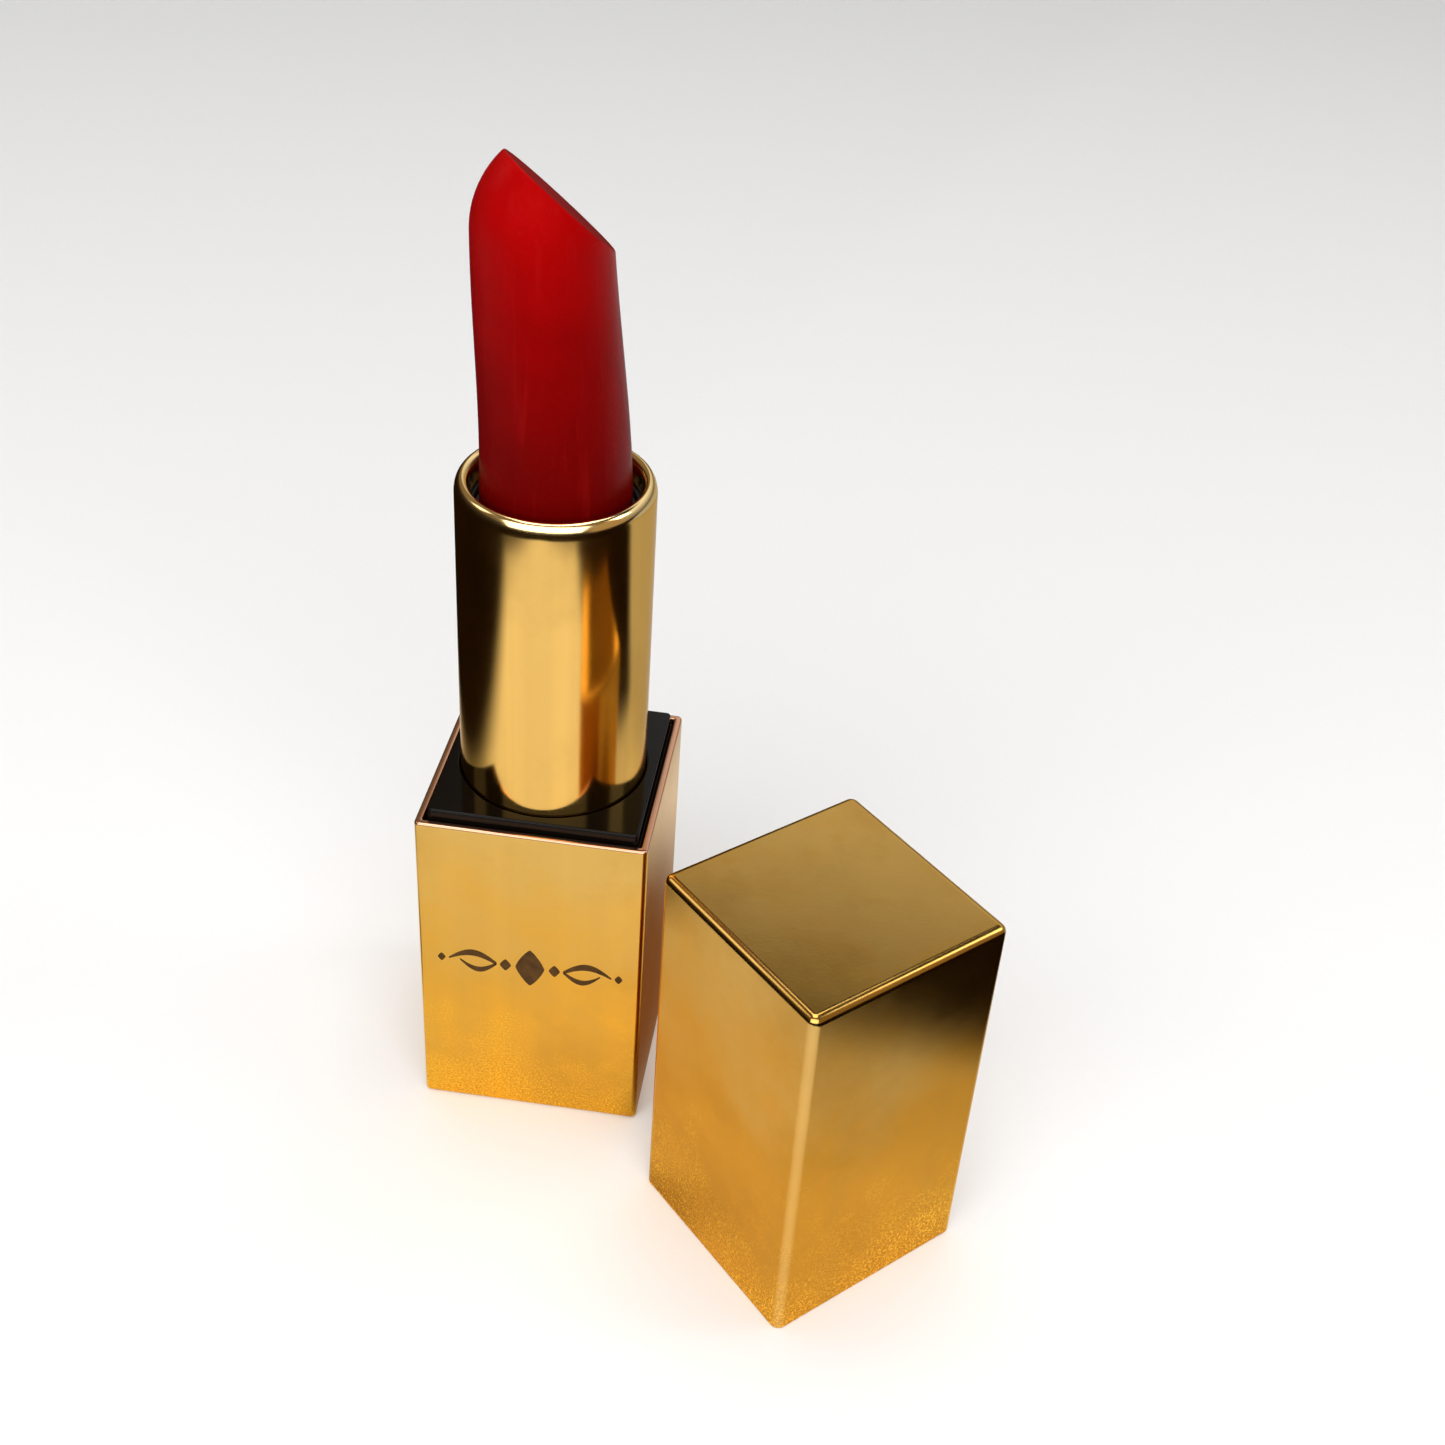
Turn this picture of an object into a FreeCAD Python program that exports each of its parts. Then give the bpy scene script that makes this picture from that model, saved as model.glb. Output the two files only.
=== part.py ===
import FreeCAD, Part
import math
import os

# A square twist-up lipstick case, open, with its cap standing beside it. Millimetres, +Z up.
# The origin is the centre of the base's underside, and the base's faces are square to X and Y.

# How far a cutter runs past the wall that it cuts.
OVERCUT = 0.3

# Base: a square metal cup filled by a plastic core, with a black collar in its mouth.
BASE_SIDE = 20.0
BASE_HEIGHT = 32.4
BASE_WALL = 0.65
BASE_FLOOR = 0.9
BASE_EDGE_R = 0.5
FOOT_EDGE_R = 0.4
RIM_BEVEL = 0.2
LABEL_R = 6.5
LABEL_THICK = 0.3
CORE_TOP = 29.0
CORE_BORE_R = 8.3
CORE_WEB_BOTTOM = 10.0
CORE_WEB_TOP = 12.0
WEIGHT_R = 7.6
INNER_CORNER_R = 0.4
SHOULDER_DROP = 0.4
STEP_RISE = 0.9
STEP_SIDE = 18.1
STEP_EDGE_R = 0.15

# Sleeve: the round metal tube that turns. Its lip is rolled inwards at the top.
SLEEVE_R = 8.08
SLEEVE_WALL = 0.38
SLEEVE_BOTTOM = 13.8
LIP_OPENING_R = 6.8
LIP_LEVEL = 60.1
LIP_CROWN = 1.3
LIP_DEPTH = 0.6
RUNNING_FIT = 0.08

# Bullet and the cup that carries it, shown fully raised.
TRAVEL = 27.5
TURNS = 1.5
BULLET_R = 6.1
TAPER_START = 60.4
BULLET_TAPER = 0.0385
BULLET_LEAN = 1.27
LEAN_SPAN = 24.0
TIP_ROUND_START = 81.5
TIP_ROUND_R = 8.2
LOFT_TOP = 88.4
CUT_HEIGHT = 83.95
CUT_TILT = 43.5
CUT_HEADING = 29.5
CUP_WALL = 0.4
CUP_FLOOR = 0.8
CUP_BOTTOM = 46.2
CUP_TOP = 58.6
LUG_R = 0.9
LUG_REACH = 7.55
LUG_HEIGHT = 1.2
SLOT_WIDTH = 2.2
GROOVE_OVERRUN = 0.3

# Guide tube, fixed to the base, and the cam tube that turns round it.
GUIDE_GAP = 0.1
GUIDE_WALL = 0.5
GUIDE_TOP = 59.2
FOOT_R = 8.25
FOOT_THICK = 1.7
BEAD_R = 7.35
BEAD_HEIGHT = 0.7
CAM_BOTTOM = 16.4
CAM_TOP = 57.2
AXIAL_PLAY = 0.1
RING_SECTION_R = 0.28
RING_HEIGHT = 15.2
RING_GAP = 0.02

# Cap: a square metal cup standing on its mouth, beside the base and turned.
CAP_SIDE = 19.6
CAP_HEIGHT = 36.3
CAP_WALL = 0.7
CAP_ROOF = 0.9
CAP_EDGE_R = 0.8
CAP_TOP_R = 0.75
CAP_INNER_R = 0.2
CAP_X = 25.95
CAP_Y = -17.15
CAP_YAW = 43.3
LINER_BOTTOM = 1.2
LINER_ROOF = 1.2
LINER_BORE_R = 8.45
RIB_REACH_R = 8.15
RIB_WIDTH = 0.6
RIB_ROOT = 0.15
RIB_COUNT = 6
RIB_BOTTOM = 2.0
RIB_TOP = 30.0
CAP_WEIGHT_SIDE = 17.0
CAP_WEIGHT_THICK = 1.2

# Radii and heights that follow from those.
CUP_R = BULLET_R + CUP_WALL
LUG_ROOT_R = BULLET_R + CUP_WALL / 2
GUIDE_IN_R = CUP_R + GUIDE_GAP
GUIDE_OUT_R = GUIDE_IN_R + GUIDE_WALL
CAM_IN_R = GUIDE_OUT_R + GUIDE_GAP
SLEEVE_IN_R = SLEEVE_R - SLEEVE_WALL
BASE_CAVITY = BASE_SIDE - 2 * BASE_WALL
CAP_CAVITY = CAP_SIDE - 2 * CAP_WALL
LUG_Z = CUP_BOTTOM + LUG_HEIGHT
PITCH = TRAVEL / TURNS

UP = FreeCAD.Vector(0, 0, 1)
ORIGIN = FreeCAD.Vector(0, 0, 0)


def block(side, low, high, edge_r=0.0):
    """A square prism about Z, with rounded upright edges."""
    corner = FreeCAD.Vector(-side / 2, -side / 2, low)
    shape = Part.makeBox(side, side, high - low, corner)
    if edge_r:
        upright = [e for e in shape.Edges if abs(e.tangentAt(e.FirstParameter).z) > 0.9]
        shape = shape.makeFillet(edge_r, upright)
    return shape


def disc(radius, low, high):
    """A round prism about Z."""
    return Part.makeCylinder(radius, high - low, FreeCAD.Vector(0, 0, low), UP)


def level_edges(shape, height):
    """The edges that lie flat at one height."""
    flat = [e for e in shape.Edges if e.BoundBox.ZLength < 1e-6]
    return [e for e in flat if abs(e.BoundBox.ZMin - height) < 1e-6]


def base_shell():
    outer = block(BASE_SIDE, 0, BASE_HEIGHT, BASE_EDGE_R)
    outer = outer.makeFillet(FOOT_EDGE_R, level_edges(outer, 0))
    outer = outer.makeChamfer(RIM_BEVEL, level_edges(outer, BASE_HEIGHT))
    cavity = block(BASE_CAVITY, BASE_FLOOR, BASE_HEIGHT)
    return outer.cut(cavity).cut(disc(LABEL_R, 0, LABEL_THICK))


def shade_label():
    return disc(LABEL_R, 0, LABEL_THICK)


def base_core():
    shape = block(BASE_CAVITY, BASE_FLOOR, CORE_TOP, INNER_CORNER_R)
    shape = shape.cut(disc(WEIGHT_R, BASE_FLOOR, CORE_WEB_BOTTOM))
    return shape.cut(disc(CORE_BORE_R, CORE_WEB_TOP, CORE_TOP))


def base_weight():
    return disc(WEIGHT_R, BASE_FLOOR, CORE_WEB_BOTTOM)


def collar():
    shoulder = block(BASE_CAVITY, CORE_TOP, BASE_HEIGHT - SHOULDER_DROP, INNER_CORNER_R)
    top = BASE_HEIGHT + STEP_RISE
    step = block(STEP_SIDE, CORE_TOP, top, INNER_CORNER_R)
    step = step.makeFillet(STEP_EDGE_R, level_edges(step, top))
    return shoulder.fuse(step).cut(disc(SLEEVE_R + RUNNING_FIT, CORE_TOP, top)).removeSplitter()


def straight_slot(turn):
    """A round-ended slot through a tube wall, for a lug to run in along Z."""
    low = LUG_Z - TRAVEL
    start = GUIDE_IN_R - OVERCUT
    depth = GUIDE_WALL + 2 * OVERCUT
    cutter = Part.makeBox(SLOT_WIDTH, depth, TRAVEL, FreeCAD.Vector(-SLOT_WIDTH / 2, start, low))
    for height in (low, LUG_Z):
        centre = FreeCAD.Vector(0, start, height)
        end = Part.makeCylinder(SLOT_WIDTH / 2, depth, centre, FreeCAD.Vector(0, 1, 0))
        cutter = cutter.fuse(end)
    cutter.rotate(ORIGIN, UP, turn)
    return cutter


def guide_tube():
    shape = disc(GUIDE_OUT_R, CORE_WEB_TOP, GUIDE_TOP)
    shape = shape.fuse(disc(FOOT_R, CORE_WEB_TOP, CORE_WEB_TOP + FOOT_THICK))
    bead_low = CAM_TOP + AXIAL_PLAY
    shape = shape.fuse(disc(BEAD_R, bead_low, bead_low + BEAD_HEIGHT))
    shape = shape.cut(disc(GUIDE_IN_R, CORE_WEB_TOP, GUIDE_TOP))
    for turn in (0, 180):
        shape = shape.cut(straight_slot(turn))
    return shape.removeSplitter()


def drag_ring():
    major = GUIDE_OUT_R + RING_SECTION_R + RING_GAP
    return Part.makeTorus(major, RING_SECTION_R, FreeCAD.Vector(0, 0, RING_HEIGHT), UP)


def helical_cutter(turn):
    """A right-handed square groove cutter, as long as the lug's travel with a little over at each end."""
    radius = (CAM_IN_R + SLEEVE_IN_R) / 2
    slope = math.atan2(PITCH, 2 * math.pi * radius)
    over = (LUG_R + GROOVE_OVERRUN) * math.sin(slope)
    height = TRAVEL + 2 * over
    helix = Part.makeHelix(PITCH, height, radius)
    across = FreeCAD.Vector(0, -math.sin(slope), math.cos(slope)) * (SLOT_WIDTH / 2)
    inward = FreeCAD.Vector(CAM_IN_R - OVERCUT, 0, 0)
    outward = FreeCAD.Vector(SLEEVE_IN_R + OVERCUT, 0, 0)
    corners = [inward - across, outward - across, outward + across, inward + across]
    profile = Part.makePolygon(corners + corners[:1])
    cutter = helix.makePipeShell([profile], True, True)
    start = 90 - 360 * (TRAVEL + over) / PITCH
    cutter.rotate(ORIGIN, UP, start + turn)
    cutter.translate(FreeCAD.Vector(0, 0, LUG_Z - TRAVEL - over))
    return cutter


def cam_tube():
    shape = disc(SLEEVE_IN_R, CAM_BOTTOM, CAM_TOP)
    shape = shape.cut(disc(CAM_IN_R, CAM_BOTTOM, CAM_TOP))
    for turn in (0, 180):
        shape = shape.cut(helical_cutter(turn))
    return shape


def sleeve_shell():
    """The tube's wall and its rolled lip, as one turned profile. The lip's section is a half ellipse."""
    lip_centre = (SLEEVE_R + LIP_OPENING_R) / 2
    lip_bottom = LIP_LEVEL - LIP_DEPTH

    def at(radius, height):
        return FreeCAD.Vector(radius, 0, height)

    crest = at(lip_centre, LIP_LEVEL + LIP_CROWN)
    crown = Part.Ellipse(crest, at(SLEEVE_R, LIP_LEVEL), at(lip_centre, LIP_LEVEL))
    corners = [
        at(LIP_OPENING_R, LIP_LEVEL),
        at(LIP_OPENING_R, lip_bottom),
        at(SLEEVE_IN_R, lip_bottom),
        at(SLEEVE_IN_R, SLEEVE_BOTTOM),
        at(SLEEVE_R, SLEEVE_BOTTOM),
        at(SLEEVE_R, LIP_LEVEL),
    ]
    edges = [Part.LineSegment(start, end).toShape() for start, end in zip(corners, corners[1:])]
    edges.append(Part.Arc(crown, -math.pi / 2, math.pi / 2).toShape())
    return Part.Face(Part.Wire(edges)).revolve(ORIGIN, UP, 360)


def bullet_cup():
    shape = disc(CUP_R, CUP_BOTTOM, CUP_TOP)
    shape = shape.cut(disc(BULLET_R, CUP_BOTTOM + CUP_FLOOR, CUP_TOP))
    for side in (1, -1):
        root = FreeCAD.Vector(0, side * LUG_ROOT_R, LUG_Z)
        lug = Part.makeCylinder(LUG_R, LUG_REACH - LUG_ROOT_R, root, FreeCAD.Vector(0, side, 0))
        shape = shape.fuse(lug)
    return shape.removeSplitter()


def bullet_section(height):
    """One round section of the uncut bullet: it narrows and leans back as it rises, then rounds over."""
    rise = height - TAPER_START
    radius = BULLET_R - BULLET_TAPER * rise
    past = max(height - TIP_ROUND_START, 0)
    radius -= TIP_ROUND_R - math.sqrt(TIP_ROUND_R**2 - past**2)
    share = min(rise / LEAN_SPAN, 1)
    centre = FreeCAD.Vector(-BULLET_LEAN * share**2 * (3 - 2 * share), 0, height)
    return Part.Wire(Part.makeCircle(radius, centre, UP))


def bullet_loft(low, high, steps):
    """A smooth solid through evenly spaced sections from low to high."""
    heights = [low + (high - low) * i / steps for i in range(steps + 1)]
    return Part.makeLoft([bullet_section(height) for height in heights], True, False)


def bullet():
    stem = disc(BULLET_R, CUP_BOTTOM + CUP_FLOOR, TAPER_START)
    shank = bullet_loft(TAPER_START, TIP_ROUND_START, 7)
    tip = bullet_loft(TIP_ROUND_START, LOFT_TOP, 5)
    # A block on the cut plane, wide enough to take all that is past it.
    size = 4 * BULLET_R
    waste = Part.makeBox(size, size, size, FreeCAD.Vector(-size / 2, -size / 2, 0))
    waste.rotate(ORIGIN, FreeCAD.Vector(0, 1, 0), CUT_TILT)
    waste.rotate(ORIGIN, UP, CUT_HEADING)
    waste.translate(FreeCAD.Vector(0, 0, CUT_HEIGHT))
    return stem.fuse(shank).fuse(tip).cut(waste)


def cap_place(shape):
    """From upright over the origin to where the cap stands."""
    shape.rotate(ORIGIN, UP, CAP_YAW)
    shape.translate(FreeCAD.Vector(CAP_X, CAP_Y, 0))
    return shape


def cap_shell():
    outer = block(CAP_SIDE, 0, CAP_HEIGHT, CAP_EDGE_R)
    outer = outer.makeFillet(CAP_TOP_R, level_edges(outer, CAP_HEIGHT))
    return cap_place(outer.cut(block(CAP_CAVITY, 0, CAP_HEIGHT - CAP_ROOF, CAP_INNER_R)))


def cap_liner():
    top = CAP_HEIGHT - CAP_ROOF - CAP_WEIGHT_THICK
    shape = block(CAP_CAVITY, LINER_BOTTOM, top, INNER_CORNER_R)
    shape = shape.cut(disc(LINER_BORE_R, LINER_BOTTOM, top - LINER_ROOF))
    for i in range(RIB_COUNT):
        length = LINER_BORE_R - RIB_REACH_R + RIB_ROOT
        corner = FreeCAD.Vector(RIB_REACH_R, -RIB_WIDTH / 2, RIB_BOTTOM)
        rib = Part.makeBox(length, RIB_WIDTH, RIB_TOP - RIB_BOTTOM, corner)
        rib.rotate(ORIGIN, UP, i * 360 / RIB_COUNT)
        shape = shape.fuse(rib)
    return cap_place(shape.removeSplitter())


def cap_weight():
    top = CAP_HEIGHT - CAP_ROOF
    return cap_place(block(CAP_WEIGHT_SIDE, top - CAP_WEIGHT_THICK, top, INNER_CORNER_R))


SUB_PARTS = [
    base_shell,
    shade_label,
    base_core,
    base_weight,
    collar,
    guide_tube,
    drag_ring,
    cam_tube,
    sleeve_shell,
    bullet_cup,
    bullet,
    cap_shell,
    cap_liner,
    cap_weight,
]


def main():
    os.makedirs("parts", exist_ok=True)
    for make in SUB_PARTS:
        shape = make()
        solids = shape.Solids
        print(make.__name__, "solids", len(solids), "valid", shape.isValid(), "volume", round(shape.Volume, 1))
        shape.exportStep("parts/" + make.__name__ + ".step")


main()
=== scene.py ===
import math

import bmesh
import bpy
from mathutils import Matrix, Vector


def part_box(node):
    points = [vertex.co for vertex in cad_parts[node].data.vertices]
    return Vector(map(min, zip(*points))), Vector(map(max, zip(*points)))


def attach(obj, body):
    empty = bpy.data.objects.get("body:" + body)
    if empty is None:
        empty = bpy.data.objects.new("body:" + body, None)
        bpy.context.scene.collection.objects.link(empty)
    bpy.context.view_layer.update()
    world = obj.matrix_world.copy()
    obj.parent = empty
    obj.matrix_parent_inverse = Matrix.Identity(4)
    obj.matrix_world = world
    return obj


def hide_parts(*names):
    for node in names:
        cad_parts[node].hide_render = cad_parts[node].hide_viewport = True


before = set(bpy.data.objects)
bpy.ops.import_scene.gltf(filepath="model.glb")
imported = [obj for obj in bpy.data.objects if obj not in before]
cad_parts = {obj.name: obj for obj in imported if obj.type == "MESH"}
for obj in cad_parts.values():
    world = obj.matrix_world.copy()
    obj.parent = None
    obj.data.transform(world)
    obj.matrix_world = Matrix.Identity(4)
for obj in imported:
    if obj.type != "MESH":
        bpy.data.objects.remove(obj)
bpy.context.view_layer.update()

MM = 0.001

# Sizes that the frame's boxes don't give, in millimetres, as in the CAD part.
BASE_WALL = 0.65
BASE_FLOOR = 0.9
BASE_EDGE_R = 0.5
FOOT_EDGE_R = 0.4
RIM_BEVEL = 0.2
LABEL_R = 6.5
LABEL_THICK = 0.3
INNER_CORNER_R = 0.4
SHOULDER_DROP = 0.4
STEP_SIDE = 18.1
BORE_R = 8.16
SLEEVE_WALL = 0.38
LIP_WIDTH = 1.28
LIP_CROWN = 1.3
LIP_DEPTH = 0.6
TAPER_START = 60.4
BULLET_TAPER = 0.0385
BULLET_LEAN = 1.27
LEAN_SPAN = 24.0
TIP_ROUND_START = 81.5
TIP_ROUND_R = 8.2
CUT_HEIGHT = 83.95
CUT_TILT = math.radians(43.5)
CUT_HEADING = math.radians(29.5)
CAP_SIDE = 19.6
CAP_WALL = 0.7
CAP_ROOF = 0.9
CAP_EDGE_R = 0.8
CAP_TOP_R = 0.75
CAP_INNER_R = 0.2
CAP_YAW = math.radians(43.3)

# Fine edges and hollows that are drawn only here, in millimetres.
FOOT_CORNER_R = 0.15
BASE_CAVITY_R = 0.12
RIM_INNER_BEVEL = 0.12
SHOULDER_BEVEL = 0.1
STEP_FILLET = 0.05
STEP_EDGE_R = 0.2
BORE_EDGE = ((0.12, 0), (0.03, 0.04), (0, 0.15))  # out from the bore and down from the top
SLEEVE_FOOT_BEVEL = 0.08
CUT_EDGE_R = 0.22
CUT_SINK = 0.02
CUT_HOLLOW = 0.28
CAP_MOUTH_R = 0.12

# The printed ornament on the base's front, in millimetres.
ORNAMENT_HEIGHT = 17.5
ORNAMENT_PROUD = 0.03
ORNAMENT_SUNK = 0.02

# The point that every light faces, in metres.
LIGHT_TARGET = Vector((0.01, -0.005, 0.03))

# The camera, in millimetres and degrees.
CAMERA_AT = (25.807, -129.297, 133.794)
CAMERA_AZIMUTH = 4.962
CAMERA_ELEVATION = 36.0
CAMERA_ROLL = 4.22
CAMERA_LENS = 46.864
SENSOR = 36.0


def node_size(name):
    """Lowest and highest corner of a CAD node, in millimetres."""
    low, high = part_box(name)
    return low / MM, high / MM


# ---------------------------------------------------------------- mesh helpers

def new_object(name, verts, faces, smooth=True):
    """A mesh object from points in millimetres."""
    mesh = bpy.data.meshes.new(name)
    mesh.from_pydata([Vector(v) * MM for v in verts], [], faces)
    mesh.validate()
    work = bmesh.new()
    work.from_mesh(mesh)
    bmesh.ops.remove_doubles(work, verts=work.verts, dist=1e-7)
    bmesh.ops.recalc_face_normals(work, faces=work.faces)
    work.to_mesh(mesh)
    work.free()
    for polygon in mesh.polygons:
        polygon.use_smooth = smooth
    obj = bpy.data.objects.new(name, mesh)
    bpy.context.scene.collection.objects.link(obj)
    return obj


def weighted_normals(obj):
    """Keeps broad faces flat in shading and their rounded edges smooth."""
    obj.data.set_sharp_from_angle(angle=math.radians(60))
    modifier = obj.modifiers.new("normals", "WEIGHTED_NORMAL")
    modifier.mode = "FACE_AREA"
    modifier.keep_sharp = True
    modifier.weight = 80


def square_ring(side, corner_r, z, steps=8, side_steps=16):
    """Points round a square with rounded corners, anticlockwise from the +X +Y corner."""
    half = side / 2 - corner_r
    ring = []
    for quarter in range(4):
        start = quarter * math.pi / 2
        centre_x = half * (1 if quarter in (0, 3) else -1)
        centre_y = half * (1 if quarter in (0, 1) else -1)
        for i in range(steps + 1):
            angle = start + math.pi / 2 * i / steps
            x = centre_x + corner_r * math.cos(angle)
            y = centre_y + corner_r * math.sin(angle)
            ring.append((x, y, z))
        onward = (-math.cos(start), -math.sin(start))
        for i in range(1, side_steps):
            along = 2 * half * i / side_steps
            ring.append((x + along * onward[0], y + along * onward[1], z))
    return ring


def circle_like(ring, radius, z):
    """A circle with one point at the angle of each point of another ring."""
    made = []
    for x, y, _ in ring:
        angle = math.atan2(y, x)
        made.append((radius * math.cos(angle), radius * math.sin(angle), z))
    return made


def circle_ring(radius, z, steps):
    """Points round a circle, anticlockwise from +X."""
    angles = [math.tau * i / steps for i in range(steps)]
    return [(radius * math.cos(angle), radius * math.sin(angle), z) for angle in angles]


def skin(rings, loop=False):
    """Vertices and faces through rings of equal length. loop joins the last ring to the first.

    Without loop, a face closes each end.
    """
    count = len(rings[0])
    verts = [p for ring in rings for p in ring]
    faces = []
    last = len(rings) if loop else len(rings) - 1
    for r in range(last):
        low = r * count
        high = ((r + 1) % len(rings)) * count
        for i in range(count):
            j = (i + 1) % count
            faces.append((low + i, low + j, high + j, high + i))
    if not loop:
        faces.append(tuple(range(count - 1, -1, -1)))
        faces.append(tuple(range((len(rings) - 1) * count, len(rings) * count)))
    return verts, faces


def arc(steps):
    """Pairs (sine, 1 - cosine) over a quarter turn, both running from 0 to 1."""
    for i in range(1, steps + 1):
        angle = math.pi / 2 * i / steps
        yield math.sin(angle), 1 - math.cos(angle)


def inset_ring(side, corner_r, inset, z):
    """The ring of a square with rounded corners, moved in by inset all round."""
    return square_ring(side - 2 * inset, corner_r - inset, z)


# ---------------------------------------------------------------- pieces

def make_base_case():
    low, high = node_size("base_shell")
    side = high.x - low.x
    top = high.z
    cavity = side - 2 * BASE_WALL
    outer = square_ring(side, BASE_EDGE_R, 0)
    rings = [
        circle_like(outer, LABEL_R, LABEL_THICK),
        circle_like(outer, LABEL_R, 0),
        square_ring(side - 2 * FOOT_EDGE_R, FOOT_CORNER_R, 0),
    ]
    for out, up in arc(6):
        corner_r = FOOT_CORNER_R + (BASE_EDGE_R - FOOT_CORNER_R) * out
        rings.append(square_ring(side - 2 * FOOT_EDGE_R * (1 - out), corner_r, FOOT_EDGE_R * up))
    rings.append(square_ring(side, BASE_EDGE_R, top - RIM_BEVEL))
    for up, inward in arc(4):
        rings.append(inset_ring(side, BASE_EDGE_R, RIM_BEVEL * inward, top - RIM_BEVEL * (1 - up)))
    rings.append(inset_ring(cavity, BASE_CAVITY_R, -RIM_INNER_BEVEL, top))
    for inward, down in arc(4):
        inset = -RIM_INNER_BEVEL * (1 - inward)
        rings.append(inset_ring(cavity, BASE_CAVITY_R, inset, top - RIM_INNER_BEVEL * down))
    rings.append(square_ring(cavity, BASE_CAVITY_R, BASE_FLOOR))
    verts, faces = skin(rings)
    obj = new_object("base_case", verts, faces)
    weighted_normals(obj)
    return obj


def make_collar_block():
    low, high = node_size("collar")
    side = high.x - low.x
    shoulder = node_size("base_shell")[1].z - SHOULDER_DROP
    outer = square_ring(side, INNER_CORNER_R, low.z)
    rings = [
        outer,
        square_ring(side, INNER_CORNER_R, shoulder - SHOULDER_BEVEL),
        inset_ring(side, INNER_CORNER_R, SHOULDER_BEVEL, shoulder),
        inset_ring(STEP_SIDE, INNER_CORNER_R, -STEP_FILLET, shoulder),
        square_ring(STEP_SIDE, INNER_CORNER_R, shoulder + STEP_FILLET),
        square_ring(STEP_SIDE, INNER_CORNER_R, high.z - STEP_EDGE_R),
    ]
    for up, inward in arc(5):
        inset = STEP_EDGE_R * inward
        rings.append(inset_ring(STEP_SIDE, INNER_CORNER_R, inset, high.z - STEP_EDGE_R * (1 - up)))
    # Two narrow bands hold the flat top's shading apart from the rounded edges beside it.
    band = 0.06
    rings.append(square_ring(STEP_SIDE - 2 * STEP_EDGE_R - band, INNER_CORNER_R - STEP_EDGE_R, high.z))
    rings.append(circle_like(outer, BORE_R + BORE_EDGE[0][0] + band, high.z))
    for out, down in BORE_EDGE:
        rings.append(circle_like(outer, BORE_R + out, high.z - down))
    rings.append(circle_like(outer, BORE_R, low.z))
    verts, faces = skin(rings, loop=True)
    obj = new_object("collar_block", verts, faces)
    weighted_normals(obj)
    return obj


def make_sleeve_tube():
    low, high = node_size("sleeve_shell")
    outside = (high.x - low.x) / 2
    inside = outside - SLEEVE_WALL
    opening = outside - LIP_WIDTH
    lip_level = high.z - LIP_CROWN
    foot_level = low.z + SLEEVE_FOOT_BEVEL
    profile = [(inside, low.z), (outside - SLEEVE_FOOT_BEVEL, low.z)]
    steps = 24
    profile += [(outside, foot_level + (lip_level - foot_level) * i / steps) for i in range(steps)]
    half = LIP_WIDTH / 2
    for i in range(steps + 1):
        angle = math.pi * i / steps
        profile.append((outside - half + half * math.cos(angle), lip_level + LIP_CROWN * math.sin(angle)))
    profile += [(opening, lip_level - LIP_DEPTH), (inside, lip_level - LIP_DEPTH)]
    rings = [circle_ring(r, z, 192) for r, z in profile]
    verts, faces = skin(rings, loop=True)
    obj = new_object("sleeve_tube", verts, faces)
    obj.data.set_sharp_from_angle(angle=math.radians(50))
    return obj


def bullet_row(height, radius):
    """Radius and X offset of the uncut bullet at one height. It narrows and leans back as it rises."""
    rise = max(height - TAPER_START, 0)
    past = min(max(height - TIP_ROUND_START, 0), TIP_ROUND_R * 0.999)
    reach = radius - BULLET_TAPER * rise
    reach -= TIP_ROUND_R - math.sqrt(TIP_ROUND_R**2 - past**2)
    share = min(rise / LEAN_SPAN, 1)
    return max(reach, 0.02), -BULLET_LEAN * share**2 * (3 - 2 * share)


def bullet_point(angle, height, radius):
    """A point on the uncut bullet's side."""
    reach, offset = bullet_row(height, radius)
    return Vector((offset + reach * math.cos(angle), reach * math.sin(angle), height))


def cut_level(angle, radius, normal):
    """The height at which one upright line of the bullet meets the cut, found by halving."""
    cut_centre = Vector((0, 0, CUT_HEIGHT))
    below, above = TAPER_START, TIP_ROUND_START + TIP_ROUND_R * 0.99
    for _ in range(40):
        middle = (below + above) / 2
        if (bullet_point(angle, middle, radius) - cut_centre).dot(normal) < 0:
            below = middle
        else:
            above = middle
    return below


def cut_face_rings(rim, centre, normal):
    """Rings from inside the cut's rounded edge almost to its centre, slightly hollow."""
    rows = 14
    rings = []
    for r in range(1, rows):
        share = r / rows
        sink = CUT_SINK + CUT_HOLLOW * math.sin(share * math.pi / 2)
        ring = []
        for p in rim:
            start = p + (centre - p).normalized() * CUT_EDGE_R
            ring.append(tuple(start.lerp(centre, share) - normal * sink))
        rings.append(ring)
    return rings


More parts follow.
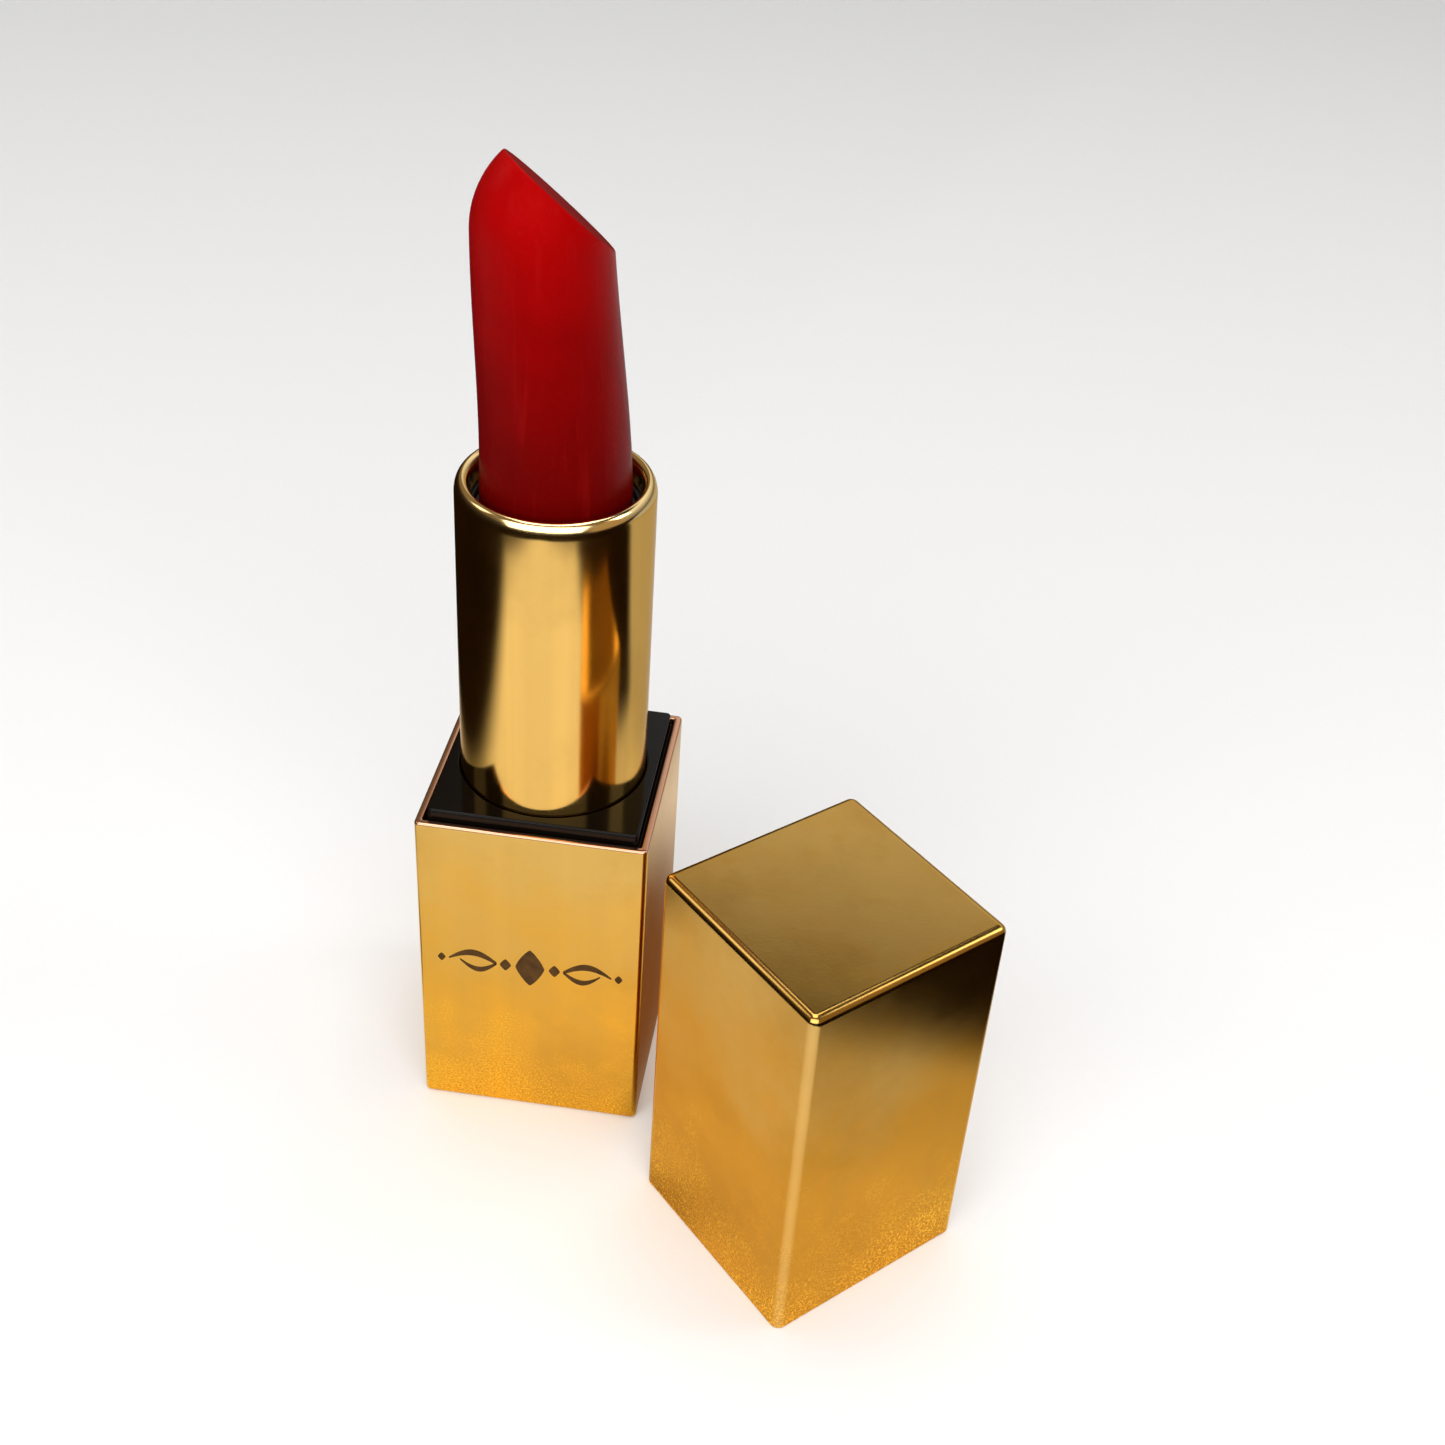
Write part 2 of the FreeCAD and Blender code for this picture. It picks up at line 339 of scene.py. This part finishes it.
def make_bullet_stick():
    low, high = node_size("bullet")
    radius = (high.y - low.y) / 2
    across = math.sin(CUT_TILT)
    normal = Vector((across * math.cos(CUT_HEADING), across * math.sin(CUT_HEADING), math.cos(CUT_TILT)))
    steps = 144
    rows = 70
    angles = [math.tau * i / steps for i in range(steps)]
    levels = [cut_level(a, radius, normal) for a in angles]
    rim = [bullet_point(a, h, radius) for a, h in zip(angles, levels)]
    centre = sum(rim, Vector()) / steps
    rings = []
    for r in range(rows + 1):
        share = (r / rows) ** 0.9
        heights = [low.z + (h - CUT_EDGE_R - low.z) * share for h in levels]
        rings.append([tuple(bullet_point(a, h, radius)) for a, h in zip(angles, heights)])
    for up, inward in arc(4):
        ring = []
        for a, h, p in zip(angles, levels, rim):
            side = bullet_point(a, h - CUT_EDGE_R * (1 - up), radius)
            toward = (centre - p).normalized()
            ring.append(tuple(side.lerp(p, up) + toward * CUT_EDGE_R * inward - normal * CUT_SINK * inward))
        rings.append(ring)
    rings += cut_face_rings(rim, centre, normal)
    verts, faces = skin(rings)
    obj = new_object("bullet_stick", verts, faces)
    obj.data.set_sharp_from_angle(angle=math.radians(70))
    for polygon in obj.data.polygons:
        if polygon.normal.dot(normal) > 0.96:
            polygon.material_index = 1
    return obj


def make_cap_cover():
    low, high = node_size("cap_shell")
    centre_x = (low.x + high.x) / 2
    centre_y = (low.y + high.y) / 2
    top = high.z
    cavity = CAP_SIDE - 2 * CAP_WALL
    rings = [
        square_ring(cavity, CAP_INNER_R, top - CAP_ROOF),
        square_ring(cavity, CAP_INNER_R, CAP_MOUTH_R),
    ]
    for down, outward in arc(3):
        rings.append(inset_ring(cavity, CAP_INNER_R, -CAP_MOUTH_R * outward, CAP_MOUTH_R * (1 - down)))
    rings.append(inset_ring(CAP_SIDE, CAP_EDGE_R, CAP_MOUTH_R, 0))
    for out, up in arc(3):
        rings.append(inset_ring(CAP_SIDE, CAP_EDGE_R, CAP_MOUTH_R * (1 - out), CAP_MOUTH_R * up))
    rings.append(square_ring(CAP_SIDE, CAP_EDGE_R, top - CAP_TOP_R))
    for up, inward in arc(8):
        rings.append(inset_ring(CAP_SIDE, CAP_EDGE_R, CAP_TOP_R * inward, top - CAP_TOP_R * (1 - up)))
    verts, faces = skin(rings)
    turn = Matrix.Translation((centre_x, centre_y, 0)) @ Matrix.Rotation(CAP_YAW, 4, "Z")
    verts = [tuple(turn @ Vector(v)) for v in verts]
    obj = new_object("cap_cover", verts, faces)
    weighted_normals(obj)
    return obj


def lozenge(centre_x, wide, tall):
    """A lozenge with sides that curve in, as (x, height) points round the ornament's centre."""
    steps = 24
    pinch = 1.6
    points = []
    for i in range(steps):
        angle = math.tau * i / steps
        x = abs(math.cos(angle)) ** pinch * math.copysign(1, math.cos(angle))
        y = abs(math.sin(angle)) ** pinch * math.copysign(1, math.sin(angle))
        points.append((centre_x + wide / 2 * x, tall / 2 * y))
    return points


def swept_line(inner, outer, thick, sag):
    """A line that tapers to a point from inner to outer and bows by sag, as (x, height) points."""
    steps = 18
    upper, lower = [], []
    for i in range(steps + 1):
        share = i / steps
        x = inner + (outer - inner) * share
        middle = sag * math.sin(math.pi * share)
        half = thick / 2 * math.sin(math.pi * (0.12 + 0.83 * share)) + 0.03
        upper.append((x, middle + half))
        lower.append((x, middle - half))
    return upper + lower[::-1]


def make_front_ornament():
    """A plain flourish in dark print: a lozenge between two bowed lines that taper, with small lozenges."""
    face = node_size("base_shell")[0].y
    shapes = [lozenge(0, 2.6, 4.2)]
    for side in (-1, 1):
        shapes.append(lozenge(side * 2.2, 1.0, 1.3))
        shapes.append(swept_line(side * 3.0, side * 7.3, 0.62, 0.95))
        shapes.append(swept_line(side * 3.0, side * 6.3, 0.5, -0.95))
        shapes.append(lozenge(side * 7.95, 0.7, 0.9))
    verts, faces = [], []
    for shape in shapes:
        start = len(verts)
        count = len(shape)
        for depth in (ORNAMENT_SUNK, -ORNAMENT_PROUD):
            verts += [(x, face + depth, ORNAMENT_HEIGHT + height) for x, height in shape]
        for i in range(count):
            j = (i + 1) % count
            faces.append((start + i, start + j, start + count + j, start + count + i))
        faces.append(tuple(range(start, start + count)))
        faces.append(tuple(range(start + 2 * count - 1, start + count - 1, -1)))
    return new_object("front_ornament", verts, faces, smooth=False)


# ---------------------------------------------------------------- materials

def node_adder(tree):
    """A function that adds a node to the tree, links its sockets and sets its values."""
    def add(kind, links=(), **values):
        node = tree.nodes.new(kind)
        for key, value in values.items():
            setattr(node, key, value)
        for socket, source in links:
            if isinstance(source, bpy.types.NodeSocket):
                tree.links.new(source, node.inputs[socket])
            else:
                node.inputs[socket].default_value = source
        return node

    return add


def node_material(name):
    """A material with its node tree and shader, and a function that adds and links nodes."""
    material = bpy.data.materials.new(name)
    material.use_nodes = True
    tree = material.node_tree
    return material, tree, tree.nodes["Principled BSDF"], node_adder(tree)


def object_place(add):
    """Where a point of the surface is, in the object's own metres."""
    return add("ShaderNodeTexCoord").outputs["Object"]


def mix_colour(add, factor, low, high):
    """Colour that runs from low to high with the factor."""
    node = add("ShaderNodeMix", [("Factor", factor)], data_type="RGBA")
    colour_inputs = node.inputs[6:8]
    for socket, source in zip(colour_inputs, (low, high)):
        if isinstance(source, bpy.types.NodeSocket):
            node.id_data.links.new(source, socket)
        else:
            socket.default_value = (*source, 1)
    return node.outputs[2]


def ramp(add, source, stops):
    """Colour along a ramp with (position, colour) stops."""
    node = add("ShaderNodeValToRGB", [("Fac", source)])
    while len(node.color_ramp.elements) < len(stops):
        node.color_ramp.elements.new(0.5)
    for element, (position, colour) in zip(node.color_ramp.elements, stops):
        element.position = position
        element.color = (*colour, 1)
    return node.outputs["Color"]


def remap(add, source, low, high, to_low, to_high, smooth=False):
    """Value that runs from to_low to to_high while the source runs from low to high."""
    ends = [("From Min", low), ("From Max", high), ("To Min", to_low), ("To Max", to_high)]
    curve = "SMOOTHSTEP" if smooth else "LINEAR"
    return add("ShaderNodeMapRange", [("Value", source), *ends], interpolation_type=curve).outputs[0]


def maths(add, operation, *values, clamp=False):
    """Result of one operation on its values in order."""
    return add("ShaderNodeMath", enumerate(values), operation=operation, use_clamp=clamp).outputs[0]


def noise(add, where, scale, detail, roughness=0.5):
    """Noise with features of about 1 / scale metres."""
    links = [("Vector", where), ("Scale", scale), ("Detail", detail), ("Roughness", roughness)]
    return add("ShaderNodeTexNoise", links).outputs["Fac"]


def stretched(add, where, scale):
    """The place scaled along each axis. Below 1 draws a texture out along that axis."""
    return add("ShaderNodeMapping", [("Vector", where), ("Scale", scale)]).outputs["Vector"]


def times(share, colour):
    """The colour made darker or lighter."""
    return tuple(share * channel for channel in colour)


def dress(tree, shader, add, colour, roughness, height, strength, depth=0.02):
    """Links colour, roughness and a bump of the given strength and depth in millimetres to the shader."""
    bump = add("ShaderNodeBump", [("Strength", strength), ("Distance", depth * MM), ("Height", height)])
    tree.links.new(colour, shader.inputs["Base Color"])
    tree.links.new(roughness, shader.inputs["Roughness"])
    tree.links.new(bump.outputs["Normal"], shader.inputs["Normal"])


def swayed_height(add, where, z_low, z_high, scale, sway, roughness=0.5):
    """0 at z_low and 1 at z_high, with its level shifted up and down by a cloud. Also gives the cloud."""
    place = add("ShaderNodeSeparateXYZ", [("Vector", where)]).outputs
    height = remap(add, place["Z"], z_low * MM, z_high * MM, 0, 1)
    cloud = noise(add, where, scale, 5, roughness)
    shift = remap(add, cloud, 0.3, 0.7, -sway, sway)
    return maths(add, "ADD", height, shift, clamp=True), cloud


def foot_speckle(add, where, level, colour, tone):
    """Coarse speckle, strongest in the lowest third. Gives the colour and how bright a speck is."""
    speck = noise(add, where, 5200, 3)
    foot = remap(add, level, 0.02, 0.34, 1, 0)
    bright = maths(add, "MULTIPLY", remap(add, speck, 0.5, 0.64, 0, 0.9), foot, clamp=True)
    pits = maths(add, "MULTIPLY", remap(add, speck, 0.44, 0.3, 0, 0.7), foot, clamp=True)
    colour = mix_colour(add, bright, colour, (1.0, 0.6, 0.06))
    return mix_colour(add, pits, colour, times(0.45, tone)), bright


def top_edge_band(add, place, colour, edge_height, edge_colour):
    """A band of its own colour along the top edge. On the sleeve's lip its pale colour partly paints the
    highlight whiter.
    """
    edge = remap(add, place["Z"], (edge_height - 0.1) * MM, edge_height * MM, 0, 1)
    return mix_colour(add, edge, colour, edge_colour)


def painted_corner_highlight(add, place, colour, middle_x, middle_y, start):
    """A painted highlight: paler corners on a square case whose corners point along X and Y, from start
    outward.
    """
    out_x = maths(add, "SUBTRACT", place["X"], middle_x * MM)
    out_y = maths(add, "SUBTRACT", place["Y"], middle_y * MM)
    far = maths(add, "MAXIMUM", maths(add, "ABSOLUTE", out_x), maths(add, "ABSOLUTE", out_y))
    corner_highlight = remap(add, far, start * MM, (start + 0.3) * MM, 0, 0.4)
    return mix_colour(add, corner_highlight, colour, (1.0, 0.66, 0.24))


def gold(name, tones, top, rough, grain, drawn, edge=None, corners=None):
    """Gold anodised aluminium: deeper orange at the foot, a painted reflection, with soft mottling, speckle
    and hairline scratches.

    tones are its colours from the foot up to top; the deeper foot is a painted reflection. drawn is the
    strength of the upright bands of drawn tube. edge is the height and colour of a band along the top edge,
    pale on the sleeve's lip, where it partly paints the highlight whiter. corners is the middle of a square
    case and how far out its paler corners start, a painted highlight.
    """
    material, tree, shader, add = node_material(name)
    where = object_place(add)
    place = add("ShaderNodeSeparateXYZ", [("Vector", where)]).outputs
    # Deeper orange toward the foot: a painted reflection.
    level, _ = swayed_height(add, where, 0, top, 110, 0.2, roughness=0.6)
    colour = ramp(add, level, [(i / (len(tones) - 1), tone) for i, tone in enumerate(tones)])

    bands = noise(add, stretched(add, where, (1, 1, 0.02)), 420, 3)
    colour = mix_colour(add, remap(add, bands, 0.35, 0.65, 0, drawn), colour, times(0.7, tones[-1]))
    haze = noise(add, where, 62, 6, 0.65)
    colour = mix_colour(add, remap(add, haze, 0.5, 0.72, 0, 0.45), colour, times(0.6, tones[1]))
    colour, glitter = foot_speckle(add, where, level, colour, tones[0])
    # The top edge band; on the sleeve's lip it is partly a painted highlight.
    if edge:
        colour = top_edge_band(add, place, colour, *edge)
    # Paler corners: a painted highlight on the rounded upright edges.
    if corners:
        colour = painted_corner_highlight(add, place, colour, *corners)

    smear = remap(add, noise(add, where, 80, 5, 0.6), 0.3, 0.7, rough * 0.75, rough * 1.3)
    roughness = maths(add, "MULTIPLY_ADD", glitter, 0.12, smear)
    scratches = noise(add, stretched(add, where, (1, 1, 0.03)), 3000, 2)
    texture = maths(add, "ADD", noise(add, where, 5200, 3), scratches)
    dress(tree, shader, add, colour, roughness, texture, grain)
    shader.inputs["Metallic"].default_value = 1.0
    shader.inputs["Specular Tint"].default_value = (1.0, 0.84, 0.58, 1)
    return material


def plastic(name, colour, rough, bump_scale, bump_strength, specular=0.5):
    """Moulded plastic with a slight cloud in its colour and gloss, and a fine surface texture."""
    material, tree, shader, add = node_material(name)
    where = object_place(add)
    tone = ramp(add, noise(add, where, 220, 4), [(0.3, times(0.75, colour)), (0.7, times(1.25, colour))])
    gloss = remap(add, noise(add, where, 120, 5), 0.3, 0.7, rough * 0.8, rough * 1.25)
    dress(tree, shader, add, tone, gloss, noise(add, where, bump_scale, 3), bump_strength)
    shader.inputs["Specular IOR Level"].default_value = specular
    return material


def steel(name):
    """Zinc plated steel with turned or brushed lines."""
    material, tree, shader, add = node_material(name)
    lines = noise(add, stretched(add, object_place(add), (0.05, 1, 1)), 2500, 4)
    tone = ramp(add, lines, [(0.3, (0.42, 0.42, 0.44)), (0.7, (0.62, 0.62, 0.63))])
    dress(tree, shader, add, tone, remap(add, lines, 0.3, 0.7, 0.28, 0.42), lines, 0.3)
    shader.inputs["Metallic"].default_value = 1.0
    return material


def lipstick(name, z_low, z_high, frosting):
    """Satin red wax, darker low down and brighter toward its tip, partly its own tone and partly painted
    light and shade, with upright drag marks and a frosted bloom.
    """
    material, tree, shader, add = node_material(name)
    where = object_place(add)
    level, cloud = swayed_height(add, where, z_low, z_high, 130, 0.12)
    # Dark low down to bright at the tip: partly painted shade and light by height.
    stops = [
        (0, (0.115, 0.0006, 0.0006)),
        (0.4, (0.18, 0.0006, 0.0008)),
        (0.75, (0.29, 0.0007, 0.001)),
        (1, (0.35, 0.001, 0.0014)),
    ]
    wax = ramp(add, level, stops)

    drag = noise(add, stretched(add, where, (1, 1, 0.05)), 1500, 3)
    frost = noise(add, where, 3800, 4)
    wax = mix_colour(add, remap(add, drag, 0.56, 0.78, 0, 0.3), wax, (0.34, 0.006, 0.006))
    fleck = remap(add, frost, 0.56, 0.74, 0, 1)
    patch = remap(add, cloud, 0.5, 0.66, 0, frosting)
    bloom = maths(add, "MULTIPLY", fleck, patch, clamp=True)
    wax = mix_colour(add, bloom, wax, (0.42, 0.035, 0.03))

    gloss = remap(add, drag, 0.3, 0.7, 0.3, 0.42)
    dress(tree, shader, add, wax, gloss, maths(add, "ADD", drag, frost), 0.2 + frosting, depth=0.03)
    shader.inputs["Specular IOR Level"].default_value = 0.1
    shader.inputs["Specular Tint"].default_value = (1.0, 0.07, 0.06, 1)
    shader.inputs["Subsurface Weight"].default_value = 0.06
    shader.inputs["Subsurface Radius"].default_value = (0.6, 0.02, 0.02)
    shader.inputs["Subsurface Scale"].default_value = 0.001
    return material


def ink(name):
    """Dark brown print on gold, slightly uneven and worn."""
    material, tree, shader, add = node_material(name)
    worn = noise(add, object_place(add), 900, 4)
    tone = ramp(add, worn, [(0.35, (0.045, 0.018, 0.003)), (0.7, (0.1, 0.045, 0.008))])
    dress(tree, shader, add, tone, remap(add, worn, 0.3, 0.7, 0.35, 0.55), worn, 0.2, depth=0.01)
    shader.inputs["Specular IOR Level"].default_value = 0.1
    return material


def assign(obj, *materials):
    """Gives the object its materials. Faces keep their choice among them."""
    chosen = [polygon.material_index for polygon in obj.data.polygons]
    obj.data.materials.clear()
    for material in materials:
        obj.data.materials.append(material)
    if len(materials) > 1:
        obj.data.polygons.foreach_set("material_index", chosen)


# ---------------------------------------------------------------- the object

def make_golds():
    """The gold of the base, the sleeve and the cap."""
    base_top = node_size("base_shell")[1].z
    # The tones run from the foot up; the deeper orange low down is a painted reflection.
    base_tones = [(0.85, 0.41, 0.03), (0.7, 0.37, 0.05), (0.65, 0.4, 0.1)]
    rim = (base_top - 0.12, (0.62, 0.34, 0.22))
    base = gold("base_gold", base_tones, base_top, rough=0.16, grain=0.04, drawn=0.15, edge=rim)

    sleeve_top = node_size("sleeve_shell")[1].z
    sleeve_tones = [(0.8, 0.46, 0.1), (0.83, 0.51, 0.14)]
    # The lip's pale band whitens its highlight: partly a painted highlight.
    lip = (sleeve_top - 0.7, (0.92, 0.68, 0.32))
    sleeve = gold("sleeve_gold", sleeve_tones, sleeve_top, rough=0.13, grain=0.02, drawn=0.4, edge=lip)

    low, high = node_size("cap_shell")
    middle = (low + high) / 2
    cap_tones = [(0.64, 0.29, 0.025), (0.55, 0.26, 0.028), (0.55, 0.33, 0.085)]
    # The cap's paler corners paint a highlight on its rounded upright edges.
    highlight_width = 0.22
    corners = (middle.x, middle.y, high.x - middle.x - highlight_width)
    cap = gold("cap_gold", cap_tones, high.z, rough=0.17, grain=0.05, drawn=0.1, corners=corners)
    return base, sleeve, cap


def show_outside():
    """The pieces that are modelled here, each on its CAD node's body."""
    base_gold, sleeve_gold, cap_gold = make_golds()
    gloss_black = plastic("gloss_black", (0.0035, 0.0025, 0.0018), 0.09, 1500, 0.03, specular=0.11)
    sleeve_top = node_size("sleeve_shell")[1].z
    bullet_top = node_size("bullet")[1].z
    # The cut's colour ramp ends above the tip, which keeps the cut darker than the side, partly as painted
    # shade.
    cut_ramp_top = bullet_top + 18
    red = lipstick("lipstick_red", sleeve_top, bullet_top, frosting=0.25)
    cut_red = lipstick("lipstick_cut", sleeve_top, cut_ramp_top, frosting=0.9)
    shown = [
        (make_base_case(), "base", "base_shell", "base_gold", base_gold),
        (make_collar_block(), "base", "collar", "gloss_black", gloss_black),
        (make_sleeve_tube(), "sleeve", "sleeve_shell", "sleeve_gold", sleeve_gold),
        (make_bullet_stick(), "carrier", "bullet", "lipstick_red", red, cut_red),
        (make_cap_cover(), "cap", "cap_shell", "cap_gold", cap_gold),
    ]
    for obj, body, node, slot, *materials in shown:
        assign(obj, *materials)
        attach(obj, body)
        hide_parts(node)

    ornament = make_front_ornament()
    assign(ornament, ink("dark_print"))
    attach(ornament, "base")


def dress_inside():
    """Materials for the CAD nodes that are shown as they are."""
    black = plastic("black_plastic", (0.02, 0.02, 0.02), 0.42, 4000, 0.3)
    metal = steel("steel")
    carried = {
        "shade_label": plastic("label_film", (0.8, 0.78, 0.73), 0.5, 2200, 0.2),
        "base_core": black,
        "base_weight": metal,
        "guide_tube": black,
        "drag_ring": plastic("silicone", (0.6, 0.12, 0.07), 0.6, 3000, 0.3),
        "cam_tube": plastic("natural_plastic", (0.8, 0.78, 0.72), 0.38, 3000, 0.2),
        "bullet_cup": black,
        "cap_liner": black,
        "cap_weight": metal,
    }
    for node, material in carried.items():
        assign(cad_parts[node], material)


# ---------------------------------------------------------------- studio

def stage_mesh(name, points, material):
    """A flat stage piece from points in metres."""
    mesh = bpy.data.meshes.new(name)
    mesh.from_pydata(points, [], [range(len(points))])
    obj = bpy.data.objects.new(name, mesh)
    bpy.context.scene.collection.objects.link(obj)
    assign(obj, material)
    return obj


def make_floor():
    """A pale round floor, with its reach in metres."""
    reach = 0.9
    turns = [math.tau * i / 96 for i in range(96)]
    material, _, shader, _ = node_material("floor_paper")
    shader.inputs["Base Color"].default_value = (0.86, 0.855, 0.85, 1)
    shader.inputs["Roughness"].default_value = 0.8
    stage_mesh("floor", [(reach * math.cos(turn), reach * math.sin(turn), 0) for turn in turns], material)


def area_light(name, at, size, power):
    """A white light panel that faces the object and that the camera does not see. Places are in metres."""
    data = bpy.data.lights.new(name, "AREA")
    data.shape = "RECTANGLE"
    data.size, data.size_y = size
    data.energy = power
    obj = bpy.data.objects.new(name, data)
    obj.location = at
    obj.rotation_mode = "QUATERNION"
    obj.rotation_quaternion = (LIGHT_TARGET - Vector(at)).to_track_quat("-Z", "Y")
    obj.visible_camera = False
    bpy.context.scene.collection.objects.link(obj)


def flag_shade(add, where):
    """How dark the card is at each place, and where it glows brown as a painted brown reflection. Distances
    are in millimetres.
    """
    def beyond(direction, near, far):
        """0 before a straight edge and 1 past it."""
        along = add("ShaderNodeVectorMath", [(0, where), (1, direction)], operation="DOT_PRODUCT")
        return remap(add, along.outputs["Value"], near * MM, far * MM, 0, 1, smooth=True)

    def patch(centre, stretch, inner, outer):
        """1 inside an oval patch and 0 outside it. stretch above 1 narrows it along that axis."""
        offset = add("ShaderNodeVectorMath", [(0, where), (1, Vector(centre) * MM)], operation="SUBTRACT")
        scaled = add("ShaderNodeVectorMath", [(0, offset.outputs[0]), (1, stretch)], operation="MULTIPLY")
        away = add("ShaderNodeVectorMath", [(0, scaled.outputs[0])], operation="LENGTH")
        return remap(add, away.outputs["Value"], outer * MM, inner * MM, 0, 1, smooth=True)

    left = beyond((-0.95, 0.31, 0), 34, 56)
    right = maths(add, "MULTIPLY", beyond((1, 0, 0), 54, 67), beyond((0, -1, 0), -36, -14))
    back_right = maths(add, "MULTIPLY", beyond((0.6, 0.8, 0), 36, 60), 0.4)
    right_edge = maths(add, "MULTIPLY", beyond((1, 0, 0), 40, 54), beyond((0, 1, 0), -48, -34))
    soft_right = maths(add, "MULTIPLY", right_edge, 0.22)
    front_left = beyond((-0.75, -0.66, 0), 94, 112)
    front_right = beyond((0.5, -0.87, 0), 104, 124)
    left_spot = maths(add, "MULTIPLY", patch((-31, -8, 0), (1, 1, 1), 3, 12), 0.75)
    # A glowing brown patch: a painted brown reflection for the base's right face.
    brown = patch((15, 6, 0), (4, 1, 1), 14, 34)
    dark = left
    for area in (right, back_right, soft_right, front_left, front_right, left_spot, brown):
        dark = maths(add, "MAXIMUM", dark, area)
    return dark, brown


def make_flag():
    """A dark card flat on the floor with soft edges, which only reflections see: it stands in for dark
    surroundings in the gold's reflections, and its brown patch glows as a painted brown reflection.
    """
    reach = 1.5
    level = 0.0003
    material, tree, shader, add = node_material("flag_card")
    tree.nodes.remove(shader)
    dark, brown = flag_shade(add, object_place(add))
    tint = mix_colour(add, brown, (0.012, 0.006, 0.002), (0.2, 0.085, 0.03))
    clear = add("ShaderNodeBsdfTransparent").outputs[0]
    card = add("ShaderNodeEmission", [("Color", tint)]).outputs[0]
    mixed = add("ShaderNodeMixShader", [(0, dark), (1, clear), (2, card)]).outputs[0]
    tree.links.new(mixed, tree.nodes["Material Output"].inputs["Surface"])
    signs = ((-1, -1), (1, -1), (1, 1), (-1, 1))
    obj = stage_mesh("flag", [(reach * x, reach * y, level) for x, y in signs], material)
    obj.visible_camera = False
    obj.visible_diffuse = False
    obj.visible_shadow = False
    obj.visible_transmission = False


def room_colour(add):
    """A dark room with a lit back wall, by the direction that a reflection looks in."""
    way = add("ShaderNodeSeparateXYZ", [("Vector", add("ShaderNodeTexCoord").outputs["Generated"])]).outputs
    low_wall = (0.03, 0.022, 0.014)
    window = (0.42, 0.3, 0.16)
    back_stops = [
        (0.0, (0.2, 0.19, 0.18)),
        (0.5, (0.9, 0.88, 0.87)),
        (0.61, (1.1, 1.08, 1.07)),
        (0.67, (0.56, 0.54, 0.52)),
        (0.715, (0.03, 0.028, 0.025)),
    ]
    back_wall = ramp(add, way["Z"], back_stops)
    left_wall = ramp(add, way["Z"], [(0.15, low_wall), (0.4, (0.24, 0.18, 0.11))])
    front_wall = ramp(add, way["Z"], [(0.15, low_wall), (0.4, (0.2, 0.15, 0.09))])
    back = mix_colour(add, remap(add, way["X"], -0.22, -0.08, 0, 1), left_wall, back_wall)
    front = mix_colour(add, remap(add, way["X"], 0.68, 0.78, 0, 1), front_wall, window)
    return mix_colour(add, remap(add, way["Y"], -0.1, 0.3, 0, 1), front, back)


def make_world():
    """A pale backdrop for the camera, soft ambient light, and the room for reflections."""
    world = bpy.data.worlds.new("studio")
    bpy.context.scene.world = world
    world.use_nodes = True
    tree = world.node_tree
    add = node_adder(tree)
    ambient = (0.1, 0.099, 0.096)
    backdrop = (0.88, 0.875, 0.87)
    rays = add("ShaderNodeLightPath").outputs
    lit = mix_colour(add, rays["Is Glossy Ray"], ambient, room_colour(add))
    seen = mix_colour(add, rays["Is Camera Ray"], lit, backdrop)
    tree.links.new(seen, tree.nodes["Background"].inputs["Color"])


def make_lights():
    """Places and sizes in metres, power in watts."""
    area_light("front_box", (0.0, -0.44, 0.31), (0.9, 0.42), 3.7)
    area_light("overhead", (0.0, 0.12, 1.2), (0.9, 0.9), 9.0)
    area_light("left_box", (-0.5, 0.02, 0.42), (0.2, 0.22), 0.25)
    area_light("right_box", (0.5, 0.06, 0.42), (0.2, 0.22), 0.5)


def make_camera():
    azimuth = math.radians(CAMERA_AZIMUTH)
    elevation = math.radians(CAMERA_ELEVATION)
    level = math.cos(elevation)
    back = Vector((math.sin(azimuth) * level, -math.cos(azimuth) * level, math.sin(elevation)))
    right = (-back).cross(Vector((0, 0, 1))).normalized()
    up = right.cross(-back)
    roll = math.radians(CAMERA_ROLL)
    rolled_right = right * math.cos(roll) + up * math.sin(roll)
    rolled_up = up * math.cos(roll) - right * math.sin(roll)
    data = bpy.data.cameras.new("camera")
    data.lens = CAMERA_LENS
    data.sensor_width = SENSOR
    data.clip_start = 0.01
    data.clip_end = 20
    obj = bpy.data.objects.new("camera", data)
    turn = Matrix((rolled_right, rolled_up, back)).transposed().to_4x4()
    obj.matrix_world = Matrix.Translation(Vector(CAMERA_AT) * MM) @ turn
    bpy.context.scene.collection.objects.link(obj)
    bpy.context.scene.camera = obj


show_outside()
dress_inside()
make_floor()
make_lights()
make_world()
make_flag()
make_camera()
bpy.context.scene.view_settings.view_transform = "Standard"
